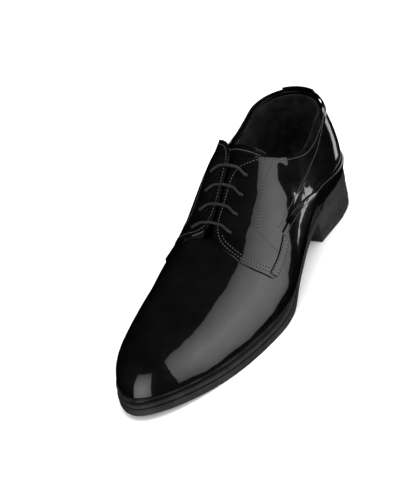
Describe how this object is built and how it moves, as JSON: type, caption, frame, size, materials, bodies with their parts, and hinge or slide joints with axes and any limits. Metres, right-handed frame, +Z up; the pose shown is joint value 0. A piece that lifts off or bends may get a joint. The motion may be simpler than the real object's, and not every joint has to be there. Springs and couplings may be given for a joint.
{
  "type": "lace-up derby dress shoe",
  "caption": "Man's plain-toe derby dress shoe for the left foot: black patent upper, straight-bar lacing, low collar, rubber sole with welt and block heel",
  "frame": {"origin": "on the ground under the middle of the shoe's bounding box", "axes": "+X from the heel to the toe, +Y to the outer (lateral) side of the left foot, +Z up"},
  "size_m": [0.2998, 0.1004, 0.1064],
  "materials": {
    "patent_leather": "high-gloss patent",
    "sole_rubber": "matte moulded",
    "lining": "suede-like",
    "fibre_board": "pressed leather board",
    "filler": "cork and felt filler",
    "steel": "plain",
    "eyelet_metal": "black lacquered",
    "lace_cord": "waxed braided cord",
    "aglet_plastic": "glossy film"
  },
  "bodies": {
    "shoe": {"outsole": "sole_rubber", "heel_block": "sole_rubber", "heel_top_piece": "sole_rubber", "heel_front_pad": "sole_rubber", "welt": "sole_rubber", "insole_board": "fibre_board", "sock_lining": "lining", "shank": "steel", "bottom_filler": "filler", "heel_nail_1": "steel", "heel_nail_2": "steel", "heel_nail_3": "steel", "heel_nail_4": "steel", "heel_nail_5": "steel", "heel_grip_lining": "lining", "heel_counter": "fibre_board", "vamp_lining": "lining", "toe_puff": "fibre_board", "lateral_quarter_lining": "lining", "medial_quarter_lining": "lining", "vamp": "patent_leather", "back_panel": "patent_leather", "lateral_quarter": "patent_leather", "lateral_eyelet_stay": "fibre_board", "lateral_side_tab": "patent_leather", "medial_quarter": "patent_leather", "medial_eyelet_stay": "fibre_board", "medial_side_tab": "patent_leather", "lateral_eyelet_1": "eyelet_metal", "lateral_eyelet_2": "eyelet_metal", "lateral_eyelet_3": "eyelet_metal", "lateral_eyelet_4": "eyelet_metal", "medial_eyelet_1": "eyelet_metal", "medial_eyelet_2": "eyelet_metal", "medial_eyelet_3": "eyelet_metal", "medial_eyelet_4": "eyelet_metal", "lace": "lace_cord", "aglet_1": "aglet_plastic", "aglet_2": "aglet_plastic"},
    "tongue": {"tongue": "patent_leather", "tongue_lining": "lining"}
  },
  "joints": [
    {"name": "tongue_fold", "type": "hinge", "parent": "shoe", "child": "tongue", "pos_m": [0.041, 0, 0.054], "axis": [0, 1, 0], "range_deg": [-5, 0], "stiffness_Nm_per_rad": 0.3}
  ]
}
